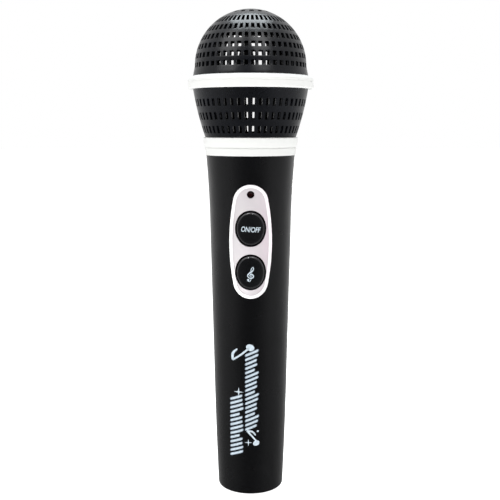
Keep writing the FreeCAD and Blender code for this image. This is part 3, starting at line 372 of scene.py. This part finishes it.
def cell_wrap():
    """Printed film over the cell's can: green, with a copper band round the end that has the nub."""
    finish = Finish("cell_wrap", (0.015, 0.075, 0.03), roughness=0.3)
    finish.set(Coat_Weight=0.4, Coat_Roughness=0.12)
    finish.mottle(200.0, darker=0.85, lighter=1.15)
    low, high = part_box("battery_left")
    finish.repaint(finish.nub_end((low.z + high.z) / 2), (0.48, 0.21, 0.07))
    return finish.grain(500.0, strength=0.06, distance=0.00005)


def nickel():
    finish = Finish("nickel", (0.66, 0.64, 0.60), roughness=0.2, metallic=1.0)
    finish.mottle(600.0, darker=0.85, lighter=1.05)
    return finish.grain(1200.0, strength=0.1, distance=0.00003)


def insulation(name, colour):
    finish = Finish(name, colour, roughness=0.45)
    finish.mottle(300.0, darker=0.85, lighter=1.15)
    return finish.grain(1500.0, strength=0.15, distance=0.00003)


FINISHES = {
    maker.__name__: maker().material
    for maker in (
        handle_black, grille_black, liner_smoke, silver_trim, plate_silver, button_black, indicator_red,
        lamp_lens, inner_plastic, circuit_board, steel, ferrite, cone_paper, soft_rubber, plunger_plastic,
        switch_plastic, epoxy_black, capacitor_sleeve, cell_wrap, nickel, white_print, shadow_print,
    )
}
for lead, lead_colour in {
    "lead_red": (0.5, 0.02, 0.015),
    "lead_black": (0.012, 0.012, 0.012),
    "lead_blue": (0.02, 0.06, 0.32),
    "lead_white": (0.65, 0.65, 0.62),
    "lead_grey": (0.2, 0.2, 0.21),
}.items():
    FINISHES[lead] = insulation(lead, lead_colour).material


# ---------------------------------------------------------------- CAD nodes

# Rounding of each moulded piece's edges, in millimetres
EDGE_ROUNDING = {
    "grille_dome": 0.26,
    "grille_bowl": 0.26,
    "equator_ring": 0.25,
    "neck_collar": 0.2,
    "button_plate": 0.3,
    "body_front": 0.12,
    "body_rear": 0.12,
    "battery_door": 0.15,
    "power_button": 0.15,
    "music_button": 0.15,
}
# Vertices closer than this become one, in millimetres, and edges sharper than this are rounded, in degrees
WELD_REACH = 0.002
SHARP_EDGE = 35.0


def soften(piece, width):
    """Join the vertices that the CAD mesh keeps apart at its edges, and round those edges."""
    weld = piece.modifiers.new("weld", "WELD")
    weld.merge_threshold = WELD_REACH * MM
    bevel = piece.modifiers.new("bevel", "BEVEL")
    bevel.width = width * MM
    bevel.segments = 3
    bevel.limit_method = "ANGLE"
    bevel.angle_limit = math.radians(SHARP_EDGE)
    bevel.miter_outer = "MITER_ARC"
    bevel.use_clamp_overlap = True
    normals = piece.modifiers.new("normals", "WEIGHTED_NORMAL")
    normals.keep_sharp = False
    normals.weight = 80


for part in frame["record"]["subparts"]:
    node = NODES[part["node"]]
    for place in node.material_slots:
        place.material = FINISHES[part["material_slot"]]
    if part["node"] in EDGE_ROUNDING:
        soften(node, EDGE_ROUNDING[part["node"]])


# ---------------------------------------------------------------- printed marks

# The prints are drawn flat, in x and z and in millimetres, and are laid on the front of a CAD node.
# How far each layer of ink stands above the surface, and how deep all of it reaches below, in millimetres
SHADOW_LIFT = 0.025
LEGEND_LIFT = 0.03
PRINT_LIFT = 0.045
INK_ROOT = 0.02
# How finely the prints are cut, across and upwards, to follow the handle and a button, in millimetres
HANDLE_CUTS = (0.5, 4.0)
BUTTON_CUTS = (0.5, 0.5)
# How far in front of the handle's axis the search for the surface starts, in metres
SEARCH_START = 0.1


def surface_under(node):
    """A function that gives the point and the normal of a CAD node's front at an x and z in metres."""
    mesh = NODES[node].data
    places = [vertex.co.copy() for vertex in mesh.vertices]
    outside = BVHTree.FromPolygons(places, [tuple(face.vertices) for face in mesh.polygons])

    def find(x, z):
        hit, normal, _, _ = outside.ray_cast(Vector((x, -SEARCH_START, z)), Vector((0.0, 1.0, 0.0)))
        if normal.y > 0:
            normal = -normal
        return hit, normal

    return find


def slice_up(mesh, axis, step):
    """Cut a flat mesh by parallel planes, so that it can bend."""
    values = [vertex.co[axis] for vertex in mesh.verts]
    direction = Vector((1, 0, 0)) if axis == 0 else Vector((0, 1, 0))
    place = math.ceil(min(values) / step) * step
    while place < max(values):
        everything = mesh.verts[:] + mesh.edges[:] + mesh.faces[:]
        bmesh.ops.bisect_plane(mesh, geom=everything, plane_co=direction * place, plane_no=direction)
        place += step


def stamp(name, flat, node, body, finish, lift, cuts):
    """Lay flat outlines on a CAD node as a skin of ink, and let it ride with its body."""
    drawing = bmesh.new()
    for outline in flat:
        corners = [drawing.verts.new((x, z, 0.0)) for x, z in outline]
        drawing.faces.new(corners)
    stamp_mesh(name, drawing, node, body, finish, lift, cuts)


def stamp_mesh(name, drawing, node, body, finish, lift, cuts):
    """Lay a flat mesh on a CAD node as a skin of ink, and let it ride with its body."""
    for axis, step in enumerate(cuts):
        slice_up(drawing, axis, step)
    find = surface_under(node)
    for vertex in drawing.verts:
        hit, normal = find(vertex.co.x * MM, vertex.co.y * MM)
        vertex.co = hit + normal * lift * MM
    bmesh.ops.recalc_face_normals(drawing, faces=drawing.faces)
    if sum(face.normal.y * face.calc_area() for face in drawing.faces) > 0:
        bmesh.ops.reverse_faces(drawing, faces=drawing.faces)
    mesh = bpy.data.meshes.new(name)
    drawing.to_mesh(mesh)
    drawing.free()
    piece = bpy.data.objects.new(name, mesh)
    bpy.context.scene.collection.objects.link(piece)
    mesh.materials.append(FINISHES[finish])
    skin = piece.modifiers.new("skin", "SOLIDIFY")
    skin.thickness = (lift + INK_ROOT) * MM
    skin.offset = -1.0
    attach(piece, body)


def catmull(points):
    """Points along a smooth curve through the given ones, which carry a width after their x and z."""
    per_run = 8
    curve = []
    for index in range(len(points) - 1):
        before = points[max(index - 1, 0)]
        start = points[index]
        end = points[index + 1]
        after = points[min(index + 2, len(points) - 1)]
        for step in range(per_run):
            t = step / per_run
            curve.append(tuple(
                0.5 * (
                    2 * b
                    + (c - a) * t
                    + (2 * a - 5 * b + 4 * c - d) * t * t
                    + (3 * b - a - 3 * c + d) * t ** 3
                )
                for a, b, c, d in zip(before, start, end, after)
            ))
    curve.append(points[-1])
    return curve


def brush(points):
    """Quads of a stroke with flat ends that follows (x, z, width) points."""
    quads = []
    curve = catmull(points)
    rails = []
    for index, (x, z, width) in enumerate(curve):
        ahead = curve[min(index + 1, len(curve) - 1)]
        behind = curve[max(index - 1, 0)]
        along = Vector((ahead[0] - behind[0], ahead[1] - behind[1])).normalized()
        side = Vector((-along.y, along.x)) * (width / 2)
        rails.append((Vector((x, z)) + side, Vector((x, z)) - side))
    for (left, right), (next_left, next_right) in zip(rails, rails[1:]):
        quads.append([tuple(left), tuple(right), tuple(next_right), tuple(next_left)])
    return quads


def leaning(x, z, lean):
    """A point turned about the middle, anticlockwise for a positive lean."""
    return x * math.cos(lean) - z * math.sin(lean), x * math.sin(lean) + z * math.cos(lean)


def disc(x, z, across, tall, turn=0.0):
    """The outline of an ellipse, turned by some degrees."""
    corners = 20
    outline = []
    for step in range(corners):
        angle = 2 * math.pi * step / corners
        right, up = leaning(across / 2 * math.cos(angle), tall / 2 * math.sin(angle), math.radians(turn))
        outline.append((x + right, z + up))
    return outline


# The stroke of a treble clef, from its lower end to the middle of its curl: x, z and width, as shares of
# half its height
CLEF = [
    (-0.20, -0.78, 0.17), (-0.15, -0.91, 0.09), (0.02, -0.92, 0.06), (0.11, -0.66, 0.06), (0.04, -0.10, 0.07),
    (-0.05, 0.40, 0.08), (-0.05, 0.72, 0.07), (0.08, 0.97, 0.05), (0.19, 0.78, 0.09), (0.10, 0.45, 0.13),
    (-0.16, 0.17, 0.13), (-0.33, -0.14, 0.12), (-0.24, -0.41, 0.10), (0.03, -0.51, 0.09), (0.28, -0.38, 0.11),
    (0.32, -0.14, 0.12), (0.13, 0.03, 0.11), (-0.06, -0.04, 0.08), (-0.11, -0.20, 0.06), (0.00, -0.30, 0.04),
]


def make_clef():
    """The tune button's mark: a treble clef that leans a little to the right."""
    middle_x = 0.1
    middle_z = middle_of("music_button").z - 0.75
    half_tall = 3.75
    half_wide = 1.12 * half_tall
    boldness = 1.2 * half_tall
    lean = math.radians(-10.0)
    stroke = []
    for x, z, width in CLEF:
        across, up = leaning(x * half_wide, z * half_tall, lean)
        stroke.append((middle_x + across, middle_z + up, width * boldness))
    foot_x, foot_z, _ = stroke[0]
    drawing = brush(stroke)
    drawing.append(disc(foot_x + 0.05, foot_z + 0.05, across=1.05, tall=0.98))
    stamp(
        "music_legend", drawing, "music_button", "music_button", "white_print",
        LEGEND_LIFT, BUTTON_CUTS,
    )


def make_power_legend():
    """Plain capitals on the power button."""
    middle_z = middle_of("power_button").z - 0.4
    legend_width = 9.1
    italic = 0.12
    lean = math.radians(-3.0)
    words = bpy.data.curves.new("power_words", "FONT")
    words.body = "ON/OFF"
    words.size = 3.5
    words.offset = 0.05
    words.align_x = "CENTER"
    words.align_y = "CENTER"
    words.space_character = 0.98
    holder = bpy.data.objects.new("power_words", words)
    bpy.context.scene.collection.objects.link(holder)
    flat = bpy.data.meshes.new_from_object(holder)
    bpy.data.objects.remove(holder)
    drawing = bmesh.new()
    drawing.from_mesh(flat)
    bmesh.ops.remove_doubles(drawing, verts=drawing.verts, dist=0.0001)
    places = [vertex.co.x for vertex in drawing.verts]
    narrow = legend_width / (max(places) - min(places))
    for vertex in drawing.verts:
        z = vertex.co.y
        x = vertex.co.x * narrow + italic * z
        across, up = leaning(x, z, lean)
        vertex.co = (across, middle_z + up, 0.0)
    stamp_mesh(
        "power_legend", drawing, "power_button", "power_button", "white_print",
        LEGEND_LIFT, BUTTON_CUTS,
    )


# The columns of bars on the handle: left edge, foot and head above the handle's base, and phase of the swing
BAR_COLUMNS = ((-9.9, 20.6, 53.4, 0.4), (-2.5, 34.6, 77.0, 1.7))
LONGEST_BAR = 6.8
SHORTEST_SHARE = 0.62
BAR_PITCH = 2.25
BAR_THICKNESS = 0.36 * BAR_PITCH
BAR_CORNER = 0.3
# How much a bar rises for each millimetre to the right
BAR_SLANT = 0.42
# How the lengths of the bars swing from one bar to the next, in radians
QUICK_SWING = 1.9
SLOW_SWING = 0.63
# How far the grey shadow reaches past each bar
SHADOW_MARGIN = 0.34


def slanted_bar(x, z, long, thick, corner):
    """The outline of a rounded bar across the handle, whose right end is higher."""
    outline = []
    for end_x, way, first_angle in ((x + long, 1, -90), (x, -1, 90)):
        for step in range(5):
            angle = math.radians(first_angle + 45 * step)
            place = end_x - way * corner + math.cos(angle) * corner
            outline.append((place, z + math.sin(angle) * thick / 2 + BAR_SLANT * (place - x)))
    return outline


def level_bars(x, low_z, high_z, phase, grow=0.0):
    """A column of level-meter bars with swinging lengths, each grown by a margin all round."""
    bars = []
    for index in range(int((high_z - low_z) / BAR_PITCH)):
        swing = 0.5 + 0.5 * math.sin(index * QUICK_SWING + phase) * math.cos(index * SLOW_SWING + phase)
        long = LONGEST_BAR * (SHORTEST_SHARE + (1.0 - SHORTEST_SHARE) * swing)
        z = low_z + index * BAR_PITCH - BAR_SLANT * grow
        thick = BAR_THICKNESS + 2 * grow
        bars.append(slanted_bar(x - grow, z, long + 2 * grow, thick, BAR_CORNER + grow))
    return bars


def sparkle(x, z, reach):
    """A four-pointed star."""
    outline = []
    for step in range(8):
        radius = reach if step % 2 == 0 else reach * 0.2
        angle = math.pi / 4 * step
        outline.append((x + radius * math.cos(angle), z + radius * math.sin(angle)))
    return outline


# The stems and flags of the print's two notes: x, height above the handle's base and width, in millimetres
NOTE_STROKES = (
    ((-0.9, 76.5, 1.0), (-4.9, 73.1, 0.9), (-8.8, 70.3, 0.9)),
    ((-8.8, 70.3, 1.1), (-8.7, 73.6, 1.2), (-6.6, 76.0, 0.7)),
    ((3.1, 28.3, 0.7), (0.7, 31.2, 0.8), (-1.8, 34.0, 0.9)),
    ((-1.8, 33.9, 1.0), (0.9, 33.5, 0.9), (2.5, 31.6, 0.6)),
)


def make_handle_print():
    """Two columns of level bars with notes and sparkles, up the front of the handle."""
    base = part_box("body_front")[0].z / MM
    shadow = []
    white = []
    for left, foot, head, phase in BAR_COLUMNS:
        shadow += level_bars(left, base + foot, base + head, phase, grow=SHADOW_MARGIN)
        white += level_bars(left, base + foot, base + head, phase)
    marks = [
        disc(-0.2, base + 76.9, across=4.2, tall=3.3, turn=-20.0),
        sparkle(-5.9, base + 54.0, reach=2.4),
        sparkle(-1.1, base + 27.8, reach=1.9),
        disc(2.8, base + 27.5, across=3.3, tall=2.7, turn=25.0),
        disc(3.6, base + 33.7, across=1.0, tall=1.0),
    ]
    for stroke in NOTE_STROKES:
        marks += brush([(x, base + z, width) for x, z, width in stroke])
    for name, flat, finish, lift in (
        ("handle_print_shadow", shadow, "shadow_print", SHADOW_LIFT),
        ("handle_print_bars", white, "white_print", PRINT_LIFT),
        ("handle_print_notes", marks, "white_print", PRINT_LIFT),
    ):
        stamp(name, flat, "body_front", "microphone", finish, lift, HANDLE_CUTS)


make_clef()
make_power_legend()
make_handle_print()

# ---------------------------------------------------------------- stage, lights and camera

# The middle of the grille, which most lights are aimed at, in metres
HEAD = Vector((0.0, 0.0, 0.2126))
# The camera's place in metres, its tilt down in degrees and its lens and sensor in millimetres
CAMERA_PLACE = Vector((-0.0003, -0.415, 0.18443))
CAMERA_TILT = 8.5
CAMERA_LENS = 60.0
CAMERA_SENSOR = 36.0
# The room's radiance from straight in front of the buttons (0) round to straight behind them (1)
ROOM_LIGHT = ((0.0, 0.012), (0.08, 0.13), (0.22, 0.34), (0.6, 0.46), (1.0, 0.75))
# How the height of a direction changes that radiance: a low and a high one, and the factor at each
ROOM_BELOW = (-0.6, -0.15, 0.25, 1.0)
ROOM_ABOVE = (0.2, 0.8, 1.0, 1.4)


def make_floor():
    """A pale seamless floor with a very faint tooth."""
    mesh = bpy.data.meshes.new("floor")
    reach = 6.0
    corners = [(-reach, -reach, 0), (reach, -reach, 0), (reach, reach, 0), (-reach, reach, 0)]
    mesh.from_pydata(corners, [], [(0, 1, 2, 3)])
    floor = bpy.data.objects.new("floor", mesh)
    bpy.context.scene.collection.objects.link(floor)
    finish = Finish("floor", (0.80, 0.80, 0.80), roughness=0.7)
    finish.set(Emission_Color=(1.0, 1.0, 1.0, 1.0), Emission_Strength=0.9)
    finish.grain(300.0, strength=0.05, distance=0.0002)
    mesh.materials.append(finish.material)
    floor.visible_glossy = False


def softbox(name, place, size, radiance, aim=HEAD, only=(), colour=(1, 1, 1)):
    """An area light of a given radiance, which may light only some CAD nodes.

    Its place is an azimuth, an elevation and a distance from what it is aimed at. Azimuth 0 is straight in
    front of the buttons, and positive is to the right.
    """
    azimuth, elevation, distance = place
    wide, tall = size
    light = bpy.data.lights.new(name, "AREA")
    light.shape = "RECTANGLE"
    light.size = wide
    light.size_y = tall
    light.energy = radiance * math.pi * wide * tall
    light.color = colour
    holder = bpy.data.objects.new(name, light)
    bpy.context.scene.collection.objects.link(holder)
    turn = math.radians(azimuth)
    rise = math.radians(elevation)
    away = Vector((math.sin(turn) * math.cos(rise), -math.cos(turn) * math.cos(rise), math.sin(rise)))
    holder.location = aim + away * distance
    holder.rotation_euler = (-away).to_track_quat("-Z", "Y").to_euler()
    holder.visible_camera = False
    if only:
        lit = bpy.data.collections.new(f"{name}_lights")
        for node in only:
            lit.objects.link(NODES[node])
        holder.light_linking.receiver_collection = lit


def make_world():
    """White to the camera, and to the object a room that is dark in front and pale beside and behind."""
    world = bpy.data.worlds.new("studio")
    bpy.context.scene.world = world
    world.use_nodes = True
    tree = world.node_tree
    tree.nodes.clear()
    output = tree.nodes.new("ShaderNodeOutputWorld")
    choose = tree.nodes.new("ShaderNodeMixShader")
    path = tree.nodes.new("ShaderNodeLightPath")
    seen = tree.nodes.new("ShaderNodeBackground")
    seen.inputs["Color"].default_value = (1, 1, 1, 1)
    room = tree.nodes.new("ShaderNodeBackground")
    direction = tree.nodes.new("ShaderNodeTexCoord")
    axes = tree.nodes.new("ShaderNodeSeparateXYZ")
    tree.links.new(direction.outputs["Generated"], axes.inputs["Vector"])

    def spread(source, *ends):
        """Map the range between the first two of four ends to the range between the last two."""
        node = tree.nodes.new("ShaderNodeMapRange")
        for name, value in zip(("From Min", "From Max", "To Min", "To Max"), ends):
            node.inputs[name].default_value = value
        tree.links.new(source, node.inputs["Value"])
        return node.outputs["Result"]

    behind = spread(axes.outputs["Y"], -1.0, 1.0, 0.0, 1.0)
    by_height = tree.nodes.new("ShaderNodeMath")
    by_height.operation = "MULTIPLY"
    tree.links.new(spread(axes.outputs["Z"], *ROOM_BELOW), by_height.inputs[0])
    tree.links.new(spread(axes.outputs["Z"], *ROOM_ABOVE), by_height.inputs[1])
    tree.links.new(by_height.outputs["Value"], room.inputs["Strength"])
    shade = tree.nodes.new("ShaderNodeValToRGB")
    while len(shade.color_ramp.elements) < len(ROOM_LIGHT):
        shade.color_ramp.elements.new(1.0)
    for stop, (position, radiance) in zip(shade.color_ramp.elements, ROOM_LIGHT):
        stop.position = position
        stop.color = (radiance, radiance, radiance, 1.0)
    tree.links.new(behind, shade.inputs["Fac"])
    tree.links.new(shade.outputs["Color"], room.inputs["Color"])
    tree.links.new(path.outputs["Is Camera Ray"], choose.inputs["Fac"])
    tree.links.new(room.outputs["Background"], choose.inputs[1])
    tree.links.new(seen.outputs["Background"], choose.inputs[2])
    tree.links.new(choose.outputs["Shader"], output.inputs["Surface"])


def make_camera():
    camera = bpy.data.cameras.new("camera")
    camera.lens = CAMERA_LENS
    camera.sensor_width = CAMERA_SENSOR
    camera.clip_start = 0.01
    holder = bpy.data.objects.new("camera", camera)
    bpy.context.scene.collection.objects.link(holder)
    holder.location = CAMERA_PLACE
    holder.rotation_euler = (math.radians(90.0 - CAMERA_TILT), 0.0, 0.0)
    bpy.context.scene.camera = holder


def make_lights():
    """Two keys, a top light and a strip behind, glints for grille and caps, and touches on the plate."""
    liners = ("head_liner_upper", "head_liner_lower")
    lower_liner = ("head_liner_lower",)
    handle = ("body_front", "body_rear", "battery_door")
    plate = ("button_plate",)
    caps = ("power_button", "music_button")
    controls = middle_of("button_plate") * MM
    grip = Vector((0.0, 0.0, 0.09))
    softbox("left_key", (-50.0, 42.0, 0.7), (0.45, 0.5), 2.3)
    softbox("right_key", (24.0, 44.0, 0.7), (0.35, 0.5), 2.6)
    softbox("top_softbox", (180.0, 80.0, 0.6), (0.46, 0.42), 7.2, colour=(0.88, 0.96, 1.0))
    softbox("left_glint", (-48.0, 30.0, 0.7), (0.55, 0.80), 55.0, only=liners)
    softbox("right_glint", (21.0, 30.0, 0.7), (0.35, 0.80), 55.0, only=liners)
    softbox("low_glint_left", (-5.2, -24.0, 0.2), (0.022, 0.14), 55.0, only=lower_liner)
    softbox("low_glint_right", (7.5, -24.0, 0.2), (0.020, 0.14), 55.0, only=lower_liner)
    softbox("rear_strip", (172.0, 4.0, 0.7), (0.12, 0.60), 7.0, aim=grip, only=handle)
    softbox("plate_fill", (-40.0, -42.0, 0.08), (0.08, 0.05), 2.2, aim=controls, only=plate)
    softbox("plate_blush", (55.0, 0.0, 0.08), (0.03, 0.06), 1.0, controls, plate, colour=(1.0, 0.3, 0.7))
    softbox("cap_glint_left", (-14.0, 40.0, 0.3), (0.03, 0.06), 70.0, aim=controls, only=caps)
    softbox("cap_glint_right", (14.0, 40.0, 0.3), (0.03, 0.06), 70.0, aim=controls, only=caps)


make_floor()
make_world()
make_camera()
make_lights()
bpy.context.scene.view_settings.view_transform = "Standard"
bpy.context.scene.view_settings.look = "None"
